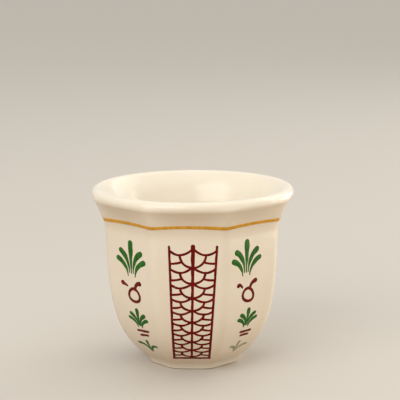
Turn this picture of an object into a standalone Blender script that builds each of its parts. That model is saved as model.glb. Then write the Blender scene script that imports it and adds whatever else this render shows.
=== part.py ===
"""Handle-less coffee cup: an eight-sided porcelain body with a round flared lip, a painted line where
the panels turn out into the lip, and enamel ornament on every panel."""

import math

import bmesh
import bpy
import numpy as np
from mathutils import Euler, Vector

# Panels that carry a column of scales and those between them, from the front round to the right
COLUMN_PANELS = ("front", "right", "back", "left")
STACK_PANELS = ("front_left", "front_right", "back_right", "back_left")

# Body, in metres. A flat is the distance from the cup's axis to the middle of a panel. The corners between
# the panels run on past the line, and the flare is round from a little under the middle of the lip.
HEIGHT = 0.0568
WAIST_FLAT = 0.02728
WAIST_CORNER = 0.0045
LIP_OVERHANG = 0.00512
LIP_THICKNESS = 0.0038
FLARE_ANGLE = math.radians(45)
CORNERS_PAST_LINE = 0.0015
ROUND_UNDER_LIP = 0.0008
WALL = 0.0030
BOWL_FADE = 0.0102
FOOT_FLAT = 0.0139
FOOT_CORNER = 0.0055
FOOT_HEIGHT = 0.0020
FOOT_SPREAD = 0.0011
FOOT_EDGE = 0.0004
FOOT_RING = 0.0044
RECESS_DEPTH = 0.0012
FLOOR = 0.0036
DISH = 0.0050

# Enamel lies on the glaze with a hair's gap, so that no two solids share a face.
ENAMEL_GAP = 0.00009
ENAMEL_THICKNESS = 0.00012

# Line under the flare, arched on each panel and lower at the sides of the cup
LINE_DROP = 0.0085
LINE_WIDTH = 0.00115
LINE_ARCH = 0.0004
LINE_SAG = 0.0005

# Column of scales, from a distance under the line to one above the foot. Its foot keeps off the corners,
# and it leans aside by a share of its height.
COLUMN_TOP = 0.0059
COLUMN_FOOT = 0.00406
COLUMN_SPIKE = 0.0008
COLUMN_TOP_WIDTH = 0.0146
COLUMN_EDGE = 0.0020
COLUMN_LEAN = 0.02
SCALE_ROWS = 9
SCALE_TOP_PITCH = 0.0058
SCALE_PITCH_EASE = 0.72
SCALE_STROKE = 0.00076
SIDE_STROKE = 0.00078
STEM_TOP_STROKE = 0.00138
STEM_LOW_STROKE = 0.00076
STEM_TAPER = 3
SILL_DROP = 0.0009
SILL_STROKE = 0.00095

# Form of one scale, in shares of the column's half width and of the row's pitch
SCALLOP_LOW = 0.55
SCALLOP_DEPTH = 0.32
SCALLOP_SIDE = 0.07
BARB_SIDE = 0.77
BARB_SAG = 0.04
BARB_TURN = math.radians(33)

# Stack of marks on the panels between the columns, from the top one down, between the same two edges
STACK_TOP = 0.0053
STACK_FOOT = 0.0062
LARGE_SPRIG_HEIGHT = 0.0106
LARGE_SPRIG_SPREAD = 0.0065
LARGE_LEAF_WIDTH = 0.00205
BUD_GAP = 0.0022
STALK_RISE = 0.0025
STALK_REACH = 0.0036
STALK_WIDTH = 0.0016
STALK_NECK = 0.0009
STALK_BEND = 0.18
BUD_WIDTH = 0.0058
BUD_HEIGHT = 0.0050
BUD_STROKE = 0.00105
BUD_EGG = 0.10
LOOSE_STALK_GAP = 0.0013
LOOSE_STALK_LENGTH = 0.0019
LOOSE_STALK_BOW = 0.0009
SMALL_SPRIG_GAP = 0.0018
SMALL_SPRIG_HEIGHT = 0.0060
SMALL_SPRIG_SPREAD = 0.0044
SMALL_LEAF_WIDTH = 0.00135
BAR_GAP = 0.00145
BAR_STROKE = 0.0011
BAR_SPACE = 0.0005
UPPER_BAR_LENGTH = 0.0054
LOWER_BAR_LENGTH = 0.0038
LOW_SPRIG_GAP = 0.00165
LOW_SPRIG_HEIGHT = 0.0042
LOW_SPRIG_SPREAD = 0.0044
LOW_LEAF_WIDTH = 0.0013
LEAF_BASE_WIDTH = 0.0005
LEAF_BASE_STEP = 0.0003

# Leaf tips of a sprig, in shares of its spread and height, and how a leaf bends and swells to its tip
FULL_FAN = ((-1.0, 0.41), (-0.80, 0.68), (0.0, 1.0), (0.80, 0.68), (1.0, 0.41))
LOW_FAN = ((-1.0, 0.55), (-0.1, 1.0), (1.0, 0.52))
FULL_BEND = Vector((0.06, 0.68))
LOW_BEND = Vector((0.27, 0.95))
LEAF_FULL = 0.85
LEAF_SWELL = 1.3

# Where the bud's stalk leaves the ring, where the loose stalk starts off it and points to, and the panels on
# which it is bowed
STALK_SIDE = math.radians(73)
LOOSE_STALK_SIDE = math.radians(133)
LOOSE_STALK_TURN = math.radians(155)
HOOKED_STALK_PANELS = ("front_right", "back_left")

# Marks are put on by hand: how far the whole ornament is turned on the body, how far large sprig, bud, small
# sprig, bars and low sprig stand off the middle of their panel, and how much a stack is drawn out about its
# small sprig
ORNAMENT_TURN = math.radians(1.75)
STACK_SLIPS = {
    "front_left": (0.0, 0.0005, 0.0003, 0.0014, 0.0011),
    "front_right": (-0.0029, -0.0016, -0.0003, 0.0001, -0.0003),
    "back_right": (0.0008, 0.0003, 0.0006, 0.0, -0.0004),
    "back_left": (-0.0006, -0.0003, 0.0002, 0.0005, 0.0008),
}
STACK_STRETCH = {"front_left": 0.0, "front_right": 0.03, "back_right": 0.02, "back_left": -0.01}

# Facets
CORNER_STEPS = 4
WALL_STEPS = (9, 2, 5)
LIP_STEPS = 8
DISH_STEPS = 4
LEAF_STEPS = 4
SCALLOP_STEPS = 4
SCALE_STEPS = 3
RING_STEPS = 16
LINE_STEPS = 2
SILL_STEPS = 8
PROFILE_STEPS = 800
END_TURNS = (math.radians(35), math.radians(70))
SHARP_ANGLE = math.radians(40)
FLAT_NORMAL = 0.9
WELD = 0.000001

# Base colour, roughness
FINISHES = {
    "ivory_porcelain": ((0.835, 0.767, 0.637, 1.0), 0.18),
    "ochre_enamel": ((0.64, 0.36, 0.04, 1.0), 0.31),
    "dark_red_enamel": ((0.13, 0.0032, 0.002, 1.0), 0.31),
    "leaf_green_enamel": ((0.028, 0.138, 0.016, 1.0), 0.31),
    "bud_red_enamel": ((0.15, 0.010, 0.0035, 1.0), 0.31),
}

PANELS = len(COLUMN_PANELS) + len(STACK_PANELS)
PANEL_TURN = 2 * math.pi / PANELS
HALF_PANEL = math.tan(PANEL_TURN / 2)
SHOULDER_FLAT = FOOT_FLAT + FOOT_SPREAD
RECESS_RADIUS = FOOT_FLAT - FOOT_RING
LINE_HEIGHT = HEIGHT - LINE_DROP
LIP_ROUND = LIP_THICKNESS / 2
LIP_CENTRE_RADIUS = WAIST_FLAT + LIP_OVERHANG - LIP_ROUND
LIP_CENTRE_HEIGHT = HEIGHT - LIP_ROUND
FLARE_END_RADIUS = LIP_CENTRE_RADIUS + LIP_ROUND * math.cos(FLARE_ANGLE)
FLARE_END_HEIGHT = LIP_CENTRE_HEIGHT - LIP_ROUND * math.sin(FLARE_ANGLE)
ROUNDING_START = LINE_HEIGHT + CORNERS_PAST_LINE
ROUNDING_END = LIP_CENTRE_HEIGHT - ROUND_UNDER_LIP
FLOOR_HEIGHT = RECESS_DEPTH + FLOOR
ENAMEL_TOP = ENAMEL_GAP + ENAMEL_THICKNESS
ENAMEL_MIDDLE = ENAMEL_GAP + ENAMEL_THICKNESS / 2
STEM_INSET = STEM_LOW_STROKE / 4


def bowl_flat(height):
    """Flat of the wall without its flare: it nears its full width as it rises from the foot."""
    if height < FOOT_HEIGHT:
        return FOOT_FLAT + (SHOULDER_FLAT - FOOT_FLAT) * height / FOOT_HEIGHT
    return WAIST_FLAT - (WAIST_FLAT - SHOULDER_FLAT) * math.exp((FOOT_HEIGHT - height) / BOWL_FADE)


# The flare is a parabola that meets the lip's round at the flare's angle.
FLARE_REACH = FLARE_END_RADIUS - bowl_flat(FLARE_END_HEIGHT)
FLARE_RISE = 2 * FLARE_REACH / math.tan(FLARE_ANGLE)
FLARE_START = FLARE_END_HEIGHT - FLARE_RISE


def wall_flat(height):
    flare = max(0.0, (height - FLARE_START) / FLARE_RISE)
    return bowl_flat(height) + FLARE_REACH * flare**2


HEIGHTS = np.linspace(0.0, FLARE_END_HEIGHT, PROFILE_STEPS)
FLATS = np.array([wall_flat(height) for height in HEIGHTS])
SLOPES = np.gradient(FLATS, HEIGHTS)
LENGTHS = np.concatenate(([0.0], np.cumsum(np.hypot(np.diff(FLATS), np.diff(HEIGHTS)))))
LINE_LENGTH = float(np.interp(LINE_HEIGHT, HEIGHTS, LENGTHS))
SHOULDER_DOWN = LINE_LENGTH - float(np.interp(FOOT_HEIGHT, HEIGHTS, LENGTHS))


def height_below_line(down):
    return float(np.interp(LINE_LENGTH - down, LENGTHS, HEIGHTS))


def wall_slope(height):
    return float(np.interp(height, HEIGHTS, SLOPES))


def corner_radius(flat):
    """Radius that rounds the corner between two panels, from the foot's to the waist's as the cup widens."""
    grown = (flat - FOOT_FLAT) / (WAIST_FLAT - FOOT_FLAT)
    return FOOT_CORNER + (WAIST_CORNER - FOOT_CORNER) * min(1.0, max(0.0, grown))


def roundness(height):
    """0 where the section is an octagon, to just over the line, and 1 where it is a circle, at the lip."""
    share = (height - ROUNDING_START) / (ROUNDING_END - ROUNDING_START)
    share = min(1.0, max(0.0, share))
    return share * share * (3 - 2 * share)


def wall_point(across, down, lift):
    """Point on the front panel, seen flat: across it, down from the line, and lifted off the surface."""
    height = height_below_line(down)
    flat = wall_flat(height)
    corner = corner_radius(flat)
    half = (flat - corner) * HALF_PANEL
    turn = max(0.0, abs(across) - half) / corner
    slope = wall_slope(height)
    lean = math.hypot(1.0, slope)
    reach = corner + lift / lean
    x = math.copysign(min(abs(across), half) + reach * math.sin(turn), across)
    y = corner - flat - reach * math.cos(turn)
    return Vector((x, y, height - lift * slope / lean))


def section(flat, round_share, height):
    """Points round one level: an octagon with rounded corners, drawn towards a circle by a share."""
    corner = corner_radius(flat)
    half = (flat - corner) * HALF_PANEL
    per_panel = CORNER_STEPS + 2
    points = []
    for panel in range(PANELS):
        facing = panel * PANEL_TURN - math.pi / 2
        normal = Vector((math.cos(facing), math.sin(facing)))
        along = Vector((-normal.y, normal.x))
        for step in range(per_panel):
            turn = max(0, step - 2) * PANEL_TURN / CORNER_STEPS
            across = min(1, step - 1) * half
            rounding = normal * math.cos(turn) + along * math.sin(turn)
            octagon = normal * (flat - corner) + along * across + rounding * corner
            angle = facing + (step - 1) * PANEL_TURN / per_panel
            circle = Vector((math.cos(angle), math.sin(angle))) * flat
            spot = octagon.lerp(circle, round_share)
            points.append(Vector((spot.x, spot.y, height)))
    return points


def inner_point(height):
    """Inside face opposite a point of the outer wall, as (radius, height)."""
    share = max(0.0, (height - LINE_HEIGHT) / (FLARE_END_HEIGHT - LINE_HEIGHT))
    thickness = WALL + (LIP_THICKNESS - WALL) * share
    slope = wall_slope(height)
    lean = math.hypot(1.0, slope)
    return wall_flat(height) - thickness / lean, height + thickness * slope / lean


def foot_levels():
    """(flat, round share, height) of the levels from the recess in the underside to the foot's edge."""
    edge = wall_flat(FOOT_EDGE)
    recess = [(RECESS_RADIUS - RECESS_DEPTH, 1.0, RECESS_DEPTH), (RECESS_RADIUS, 1.0, 0.0)]
    return recess + [(edge - FOOT_EDGE, 0.0, 0.0), (edge, 0.0, FOOT_EDGE)]


def outside_heights():
    """Heights up the wall, evenly spaced between shoulder, foot of the flare, line and lip."""
    knots = np.interp(sorted((FOOT_HEIGHT, FLARE_START, LINE_HEIGHT, FLARE_END_HEIGHT)), HEIGHTS, LENGTHS)
    lengths = [knots[0]]
    for start, end, steps in zip(knots, knots[1:], WALL_STEPS):
        lengths.extend(np.linspace(start, end, steps + 1)[1:])
    return [float(height) for height in np.interp(lengths, LENGTHS, HEIGHTS)]


def lip_levels():
    """Half round over the lip, from the end of the flare to the inside face."""
    levels = []
    for step in range(1, LIP_STEPS + 1):
        angle = step * math.pi / LIP_STEPS - FLARE_ANGLE
        height = LIP_CENTRE_HEIGHT + LIP_ROUND * math.sin(angle)
        levels.append((LIP_CENTRE_RADIUS + LIP_ROUND * math.cos(angle), roundness(height), height))
    return levels


def inside_levels(outside):
    """Round inside, down from the lip to a dished floor, with half as many levels as the outside."""
    inside = [inner_point(height) for height in outside[-3::-2]]
    levels = [(radius, 1.0, height) for radius, height in inside if height > FLOOR_HEIGHT + DISH]
    radii, heights = zip(*reversed(inside))
    for step in range(DISH_STEPS):
        turn = (1 - step / DISH_STEPS) * math.pi / 2
        height = FLOOR_HEIGHT + DISH * (1 - math.cos(turn))
        levels.append((float(np.interp(height, heights, radii)) * math.sin(turn), 1.0, height))
    return levels


def body_mesh():
    """Loft from the recess, up the outside and over the lip, to the floor inside."""
    outside = outside_heights()
    wall = [(wall_flat(height), roundness(height), height) for height in outside]
    levels = foot_levels() + wall + lip_levels() + inside_levels(outside)
    return loft("porcelain_body", [section(*level) for level in levels])


def loft(name, rings, closed=False):
    """Skin through rings of as many points each, closed on itself or capped at both ends."""
    shape = bmesh.new()
    rings = [[shape.verts.new(point) for point in ring] for ring in rings]
    following = rings[1:] + rings[:1] if closed else rings[1:]
    for first, second in zip(rings, following):
        for index in range(len(first)):
            shape.faces.new((first[index - 1], first[index], second[index], second[index - 1]))
    if not closed:
        shape.faces.new(reversed(rings[0]))
        shape.faces.new(rings[-1])
    return finished_mesh(name, shape)


def finished_mesh(name, shape):
    mesh = bpy.data.meshes.new(name)
    shape.to_mesh(mesh)
    shape.free()
    mesh.shade_smooth()
    mesh.set_sharp_from_angle(angle=SHARP_ANGLE)
    return mesh


def line_mesh():
    """Band round the cup at the foot of the flare, arched a little on each panel and lower at the sides."""
    flat = wall_flat(LINE_HEIGHT)
    corner = corner_radius(flat)
    half = (flat - corner) * HALF_PANEL
    spots = [(share * half, LINE_ARCH * (1 - share**2)) for share in np.linspace(-1.0, 1.0, LINE_STEPS + 1)]
    for step in range(1, CORNER_STEPS):
        spots.append((half + corner * step * PANEL_TURN / CORNER_STEPS, 0.0))
    rings = []
    for panel in range(PANELS):
        turn = Euler((0.0, 0.0, panel * PANEL_TURN)).to_matrix()
        for across, arch in spots:
            rise = arch - LINE_SAG * math.sin(panel * PANEL_TURN + across / flat) ** 2
            low, high = LINE_WIDTH / 2 - rise, -LINE_WIDTH / 2 - rise
            ends = ((high, ENAMEL_GAP), (high, ENAMEL_TOP), (low, ENAMEL_TOP), (low, ENAMEL_GAP))
            rings.append([turn @ wall_point(across, down, lift) for down, lift in ends])
    return loft("ochre_line", rings, closed=True)


def stroke(spine, halves, round_start=False, round_end=False):
    """Outline of a stroke with a half width at each point of its spine and its ends rounded off."""
    stations = list(zip(spine, halves))
    if round_start:
        outward = (spine[0] - spine[1]).normalized() * halves[0]
        for turn in END_TURNS:
            stations.insert(0, (spine[0] + outward * math.sin(turn), halves[0] * math.cos(turn)))
    if round_end:
        outward = (spine[-1] - spine[-2]).normalized() * halves[-1]
        for turn in END_TURNS:
            stations.append((spine[-1] + outward * math.sin(turn), halves[-1] * math.cos(turn)))
    left = []
    right = []
    for index, (point, half) in enumerate(stations):
        before = stations[max(index - 1, 0)][0]
        after = stations[min(index + 1, len(stations) - 1)][0]
        along = (after - before).normalized()
        aside = Vector((-along.y, along.x)) * half
        left.append(point + aside)
        right.append(point - aside)
    return left + right[::-1]


def on_oval(turn, width, height):
    """Point of an egg-shaped oval from its middle, at a turn from its right to its narrower top."""
    narrowing = 1 - BUD_EGG * math.sin(turn)
    return Vector((width / 2 * narrowing * math.cos(turn), -height / 2 * math.sin(turn)))


def oval(centre, width, height):
    turns = [-step * 2 * math.pi / RING_STEPS for step in range(RING_STEPS)]
    return [centre + on_oval(turn, width, height) for turn in turns]


def flat_enamel(*outlines):
    """Guide object: a layer of enamel lying flat, filled between its outlines."""
    curve = bpy.data.curves.new("stroke", "CURVE")
    curve.dimensions = "2D"
    curve.fill_mode = "BOTH"
    curve.extrude = ENAMEL_THICKNESS / 2
    for outline in outlines:
        spline = curve.splines.new("POLY")
        spline.points.add(len(outline) - 1)
        for spot, point in zip(spline.points, outline):
            spot.co = (point.x, point.y, 0.0, 1.0)
        spline.use_cyclic_u = True
    drawn = bpy.data.objects.new("stroke", curve)
    guides.objects.link(drawn)
    shape = bmesh.new()
    shape.from_mesh(evaluated_mesh(drawn))
    bpy.data.objects.remove(drawn)
    bmesh.ops.remove_doubles(shape, verts=shape.verts, dist=WELD)
    bmesh.ops.recalc_face_normals(shape, faces=shape.faces)
    merge_flats(shape)
    layer = bpy.data.objects.new("stroke", finished_mesh("stroke", shape))
    layer.hide_render = True
    layer.display_type = "WIRE"
    guides.objects.link(layer)
    return layer


def merge_flats(shape):
    """Make one face of what lies in the top of a flat layer, and one of what lies in its underside."""
    flats = flat_faces(shape)
    inside = [edge for edge in shape.edges if flats.issuperset(edge.link_faces)]
    bmesh.ops.dissolve_limit(shape, angle_limit=SHARP_ANGLE, verts=[], edges=inside)


def drop_inner_corners(shape):
    """Take out the corners of strokes that ended up inside another stroke, one by one."""
    flats = flat_faces(shape)
    for vertex in [vertex for vertex in shape.verts if flats.issuperset(vertex.link_faces)]:
        neighbour = vertex.link_edges[0].other_vert(vertex)
        bmesh.utils.vert_dissolve(vertex)
        opened = [face for face in neighbour.link_faces if len(face.verts) > 3]
        bmesh.ops.triangulate(shape, faces=opened)


def flat_faces(shape):
    shape.normal_update()
    return {face for face in shape.faces if abs(face.normal.z) > FLAT_NORMAL}


def evaluated_mesh(obj):
    graph = bpy.context.evaluated_depsgraph_get()
    return bpy.data.meshes.new_from_object(obj.evaluated_get(graph))


def united(layers):
    """One flat mesh from layers of enamel that overlap."""
    first, *others = layers
    if others:
        overlapping = bpy.data.collections.new("overlapping_strokes")
        guides.children.link(overlapping)
        for layer in others:
            guides.objects.unlink(layer)
            overlapping.objects.link(layer)
        join = first.modifiers.new("join", "BOOLEAN")
        join.operation = "UNION"
        join.operand_type = "COLLECTION"
        join.collection = overlapping
    mesh = evaluated_mesh(first)
    for layer in layers:
        bpy.data.objects.remove(layer)
    return mesh


def laid_on_wall(name, layers, place):
    """Mesh of flat enamel laid on the front panel, where place turns a flat spot into (across, down)."""
    shape = bmesh.new()
    shape.from_mesh(united(layers))
    bmesh.ops.triangulate(shape, faces=shape.faces)
    drop_inner_corners(shape)
    for vertex in shape.verts:
        across, down = place(vertex.co.xy)
        turned = wall_flat(height_below_line(down)) * math.tan(ORNAMENT_TURN)
        vertex.co = wall_point(across + turned, down, ENAMEL_MIDDLE + vertex.co.z)
    bmesh.ops.reverse_faces(shape, faces=shape.faces)
    return finished_mesh(name, shape)


SILL = SHOULDER_DOWN - COLUMN_FOOT
SILL_HALF = wall_flat(height_below_line(SILL)) * HALF_PANEL - COLUMN_EDGE


def column_nodes():
    """Levels down the stem where the scales meet it: the rows fill the column, closer towards its foot."""
    eases = [SCALE_PITCH_EASE**row for row in range(SCALE_ROWS)]
    first = COLUMN_TOP + COLUMN_SPIKE
    room = SILL - SILL_DROP - first
    low_pitch = (room - SCALE_TOP_PITCH * sum(eases)) / (SCALE_ROWS - sum(eases))
    pitches = [low_pitch + (SCALE_TOP_PITCH - low_pitch) * ease for ease in eases]
    return [first + sum(pitches[:row]) for row in range(SCALE_ROWS + 1)]


NODES = column_nodes()


def column_half(down):
    share = (down - COLUMN_TOP) / (SILL - COLUMN_TOP)
    return COLUMN_TOP_WIDTH / 2 * (1 - share) + SILL_HALF * share


def column_place(spot):
    """Rule that puts a spot of the column on its panel, further to the right towards the top."""
    return spot.x + COLUMN_LEAN * ((COLUMN_TOP + SILL) / 2 - spot.y), spot.y


def scale_spot(side, row, out, fall):
    """Point of a scale, from shares of the half width and of the row's pitch."""
    down = NODES[row] + fall * (NODES[row + 1] - NODES[row])
    return Vector((side * (out * (column_half(down) - STEM_INSET) + STEM_INSET), down))


def scallop_fall(out):
    """Sag of a scallop slung between the side line and the stem, lowest part way."""
    if out < SCALLOP_LOW:
        return SCALLOP_DEPTH * (1 - ((SCALLOP_LOW - out) / SCALLOP_LOW) ** 2)
    rise = ((out - SCALLOP_LOW) / (1 - SCALLOP_LOW)) ** 2
    return SCALLOP_DEPTH - (SCALLOP_DEPTH - SCALLOP_SIDE) * rise


def scale_arc(turn):
    """Shares on the quarter ellipse from a scallop's lowest point to the next node."""
    return SCALLOP_LOW * math.cos(turn), SCALLOP_DEPTH + (1 - SCALLOP_DEPTH) * math.sin(turn)


def scale_strokes(side, row):
    """Scallop, the scale's own edge below it, and the barb from that edge to the side line."""
    outs = np.linspace(1.0, 0.0, SCALLOP_STEPS + 1)
    scallop = [scale_spot(side, row, out, scallop_fall(out)) for out in outs]
    turns = np.linspace(0.0, math.pi / 2, SCALE_STEPS + 1)
    edge = [scale_spot(side, row, *scale_arc(turn)) for turn in turns]
    tip_out, tip_fall = scale_arc(BARB_TURN)
    sag = ((1 + tip_out) / 2, (BARB_SIDE + tip_fall) / 2 + BARB_SAG)
    barb = [scale_spot(side, row, *spot) for spot in ((1.0, BARB_SIDE), sag, (tip_out, tip_fall))]
    return [stroke(spine, [SCALE_STROKE / 2] * len(spine)) for spine in (scallop, edge, barb)]


def column_mesh():
    """Stem, two side lines, a sill and the rows of scales between them."""
    levels = [COLUMN_TOP] + NODES[1:-1] + [SILL]
    shares = [(down - COLUMN_TOP) / (SILL - COLUMN_TOP) for down in levels]
    swells = [(1 - share) ** STEM_TAPER for share in shares]
    halves = [(STEM_LOW_STROKE + (STEM_TOP_STROKE - STEM_LOW_STROKE) * swell) / 2 for swell in swells]
    strokes = [stroke([Vector((0.0, down)) for down in levels], halves)]
    for side in (-1, 1):
        spine = [Vector((side * column_half(down), down)) for down in levels]
        strokes.append(stroke(spine, [SIDE_STROKE / 2] * len(spine)))
    sill_end = SILL_HALF + SIDE_STROKE / 2
    sill = [Vector((float(out), SILL)) for out in np.linspace(-sill_end, sill_end, SILL_STEPS + 1)]
    strokes.append(stroke(sill, [SILL_STROKE / 2] * len(sill)))
    for row in range(SCALE_ROWS):
        for side in (-1, 1):
            strokes += scale_strokes(side, row)
    return laid_on_wall("scale_column", [flat_enamel(outline) for outline in strokes], column_place)


def bent(start, bend, end, steps):
    """Points on the curve from start to end that a bend point pulls aside."""
    shares = np.linspace(0.0, 1.0, steps + 1)
    return [start * (1 - t) ** 2 + bend * (2 * t * (1 - t)) + end * t**2 for t in map(float, shares)]


def leaf(base, tip, bend, width):
    """Leaf that leaves its base upright, bends out and swells to a round tip."""
    bend = base + (tip - base) * bend
    end = tip + (bend - tip).normalized() * (width / 2)
    spine = bent(base, bend, end, LEAF_STEPS)
    shares = [min(1.0, step / LEAF_STEPS / LEAF_FULL) for step in range(LEAF_STEPS + 1)]
    growth = [math.sin(share * math.pi / 2) ** LEAF_SWELL for share in shares]
    halves = [(LEAF_BASE_WIDTH + (width - LEAF_BASE_WIDTH) * share) / 2 for share in growth]
    return stroke(spine, halves, round_end=True)


def sprig(base_down, height, spread, width, fan, bend):
    """Leaves fanned out from one base."""
    layers = []
    for index, (out, up) in enumerate(fan):
        base = Vector(((index - (len(fan) - 1) / 2) * LEAF_BASE_STEP, base_down))
        tip = Vector((out * spread, base_down - up * height))
        layers.append(flat_enamel(leaf(base, tip, bend, width)))
    return layers


def tapered(root, bend, tip, round_start):
    """Stalk that swells from its neck to a round tip."""
    shares = [step / LEAF_STEPS for step in range(LEAF_STEPS + 1)]
    halves = [(STALK_NECK + (STALK_WIDTH - STALK_NECK) * share) / 2 for share in shares]
    return flat_enamel(stroke(bent(root, bend, tip, LEAF_STEPS), halves, round_start, round_end=True))


def bud(centre_down):
    """Ring with a stalk that rises from its top and bends over to the right."""
    centre = Vector((0.0, centre_down))
    outside = oval(centre, BUD_WIDTH, BUD_HEIGHT)
    inside = oval(centre, BUD_WIDTH - 2 * BUD_STROKE, BUD_HEIGHT - 2 * BUD_STROKE)
    root = centre + on_oval(STALK_SIDE, BUD_WIDTH - BUD_STROKE, BUD_HEIGHT - BUD_STROKE)
    rise = BUD_HEIGHT / 2 + STALK_RISE - STALK_WIDTH / 2
    tip = centre + Vector((STALK_REACH - STALK_WIDTH / 2, -rise))
    bend = Vector((root.x + (tip.x - root.x) * STALK_BEND, tip.y))
    return [flat_enamel(outside, inside), tapered(root, bend, tip, round_start=False)]


def loose_stalk(centre_down, bow):
    """Second stalk, straight or bowed, which stops short of the ring's upper left."""
    reach = on_oval(LOOSE_STALK_SIDE, BUD_WIDTH, BUD_HEIGHT)
    along = Vector((math.cos(LOOSE_STALK_TURN), -math.sin(LOOSE_STALK_TURN)))
    root = Vector((0.0, centre_down)) + reach + reach.normalized() * LOOSE_STALK_GAP
    tip = root + along * LOOSE_STALK_LENGTH
    bend = (root + tip) / 2 + Vector((-along.y, along.x)) * bow
    return [tapered(root, bend, tip, round_start=True)]


def bar(down, length):
    half = BAR_STROKE / 2
    ends = [Vector((side * (length / 2 - half), down)) for side in (-1, 1)]
    return [flat_enamel(stroke(ends, [half, half], round_start=True, round_end=True))]


LARGE_BASE = STACK_TOP + LARGE_SPRIG_HEIGHT
BUD_CENTRE = LARGE_BASE + BUD_GAP + STALK_RISE + BUD_HEIGHT / 2
SMALL_BASE = BUD_CENTRE + BUD_HEIGHT / 2 + SMALL_SPRIG_GAP + SMALL_SPRIG_HEIGHT
UPPER_BAR = SMALL_BASE + BAR_GAP + BAR_STROKE / 2
LOWER_BAR = UPPER_BAR + BAR_STROKE + BAR_SPACE
LOW_BASE = LOWER_BAR + BAR_STROKE / 2 + LOW_SPRIG_GAP + LOW_SPRIG_HEIGHT
STACK_FIT = (SHOULDER_DOWN - STACK_FOOT - STACK_TOP) / (LOW_BASE - STACK_TOP)


def stack_place(panel_name, group, middle):
    """Rule that puts a mark of a group, with its middle at a level, where the hand put it on a panel that
    the stack fills."""
    slip = STACK_SLIPS[panel_name][group]
    drop = STACK_STRETCH[panel_name] * (middle - SMALL_BASE)

    def place(spot):
        return spot.x + slip, STACK_TOP + (spot.y + drop - STACK_TOP) * STACK_FIT

    return place


def stack_marks(panel_name):
    """Name, finish, group, middle and layers of each mark in a stack, from the top down."""
    bow = LOOSE_STALK_BOW if panel_name in HOOKED_STALK_PANELS else 0.0
    large = (LARGE_BASE, LARGE_SPRIG_HEIGHT, LARGE_SPRIG_SPREAD, LARGE_LEAF_WIDTH, FULL_FAN, FULL_BEND)
    small = (SMALL_BASE, SMALL_SPRIG_HEIGHT, SMALL_SPRIG_SPREAD, SMALL_LEAF_WIDTH, FULL_FAN, FULL_BEND)
    low = (LOW_BASE, LOW_SPRIG_HEIGHT, LOW_SPRIG_SPREAD, LOW_LEAF_WIDTH, LOW_FAN, LOW_BEND)
    yield "sprig_large", "leaf_green_enamel", 0, LARGE_BASE - LARGE_SPRIG_HEIGHT / 2, sprig(*large)
    yield "bud", "bud_red_enamel", 1, BUD_CENTRE, bud(BUD_CENTRE)
    yield "bud_stalk", "bud_red_enamel", 1, BUD_CENTRE, loose_stalk(BUD_CENTRE, bow)
    yield "sprig_small", "leaf_green_enamel", 2, SMALL_BASE - SMALL_SPRIG_HEIGHT / 2, sprig(*small)
    yield "bar_upper", "bud_red_enamel", 3, UPPER_BAR, bar(UPPER_BAR, UPPER_BAR_LENGTH)
    yield "bar_lower", "bud_red_enamel", 3, LOWER_BAR, bar(LOWER_BAR, LOWER_BAR_LENGTH)
    yield "sprig_low", "leaf_green_enamel", 4, LOW_BASE - LOW_SPRIG_HEIGHT / 2, sprig(*low)


def make_material(name):
    colour, roughness_value = FINISHES[name]
    material = bpy.data.materials.new(name)
    material.use_nodes = True
    shader = material.node_tree.nodes["Principled BSDF"]
    shader.inputs["Base Color"].default_value = colour
    shader.inputs["Roughness"].default_value = roughness_value
    shader.inputs["Metallic"].default_value = 0.0
    material.diffuse_color = colour
    return material


def add_part(name, mesh, finish, turn=0.0):
    """Named part on the cup's axis, turned to its panel."""
    if not mesh.materials:
        mesh.materials.append(materials[finish])
    obj = bpy.data.objects.new(name, mesh)
    obj.rotation_euler.z = turn
    obj.parent = cup_axis
    parts.objects.link(obj)


for old in list(bpy.data.objects):
    bpy.data.objects.remove(old)
parts = bpy.data.collections.new("coffee_cup")
guides = bpy.data.collections.new("stroke_guides")
for collection in (parts, guides):
    bpy.context.scene.collection.children.link(collection)
cup_axis = bpy.data.objects.new("cup_axis", None)
parts.objects.link(cup_axis)
materials = {name: make_material(name) for name in FINISHES}

add_part("porcelain_body", body_mesh(), "ivory_porcelain")
add_part("ochre_line", line_mesh(), "ochre_enamel")
column = column_mesh()
for index, panel_name in enumerate(COLUMN_PANELS):
    add_part("scale_column_" + panel_name, column, "dark_red_enamel", 2 * index * PANEL_TURN)
for index, panel_name in enumerate(STACK_PANELS):
    for mark, finish, group, middle, layers in stack_marks(panel_name):
        mark_name = f"{mark}_{panel_name}"
        marked = laid_on_wall(mark_name, layers, stack_place(panel_name, group, middle))
        add_part(mark_name, marked, finish, (2 * index - 1) * PANEL_TURN)
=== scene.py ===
"""Looks of the octagonal coffee cup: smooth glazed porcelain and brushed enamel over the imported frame."""

import math

import bpy
import numpy as np
from mathutils import Matrix, Vector


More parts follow.
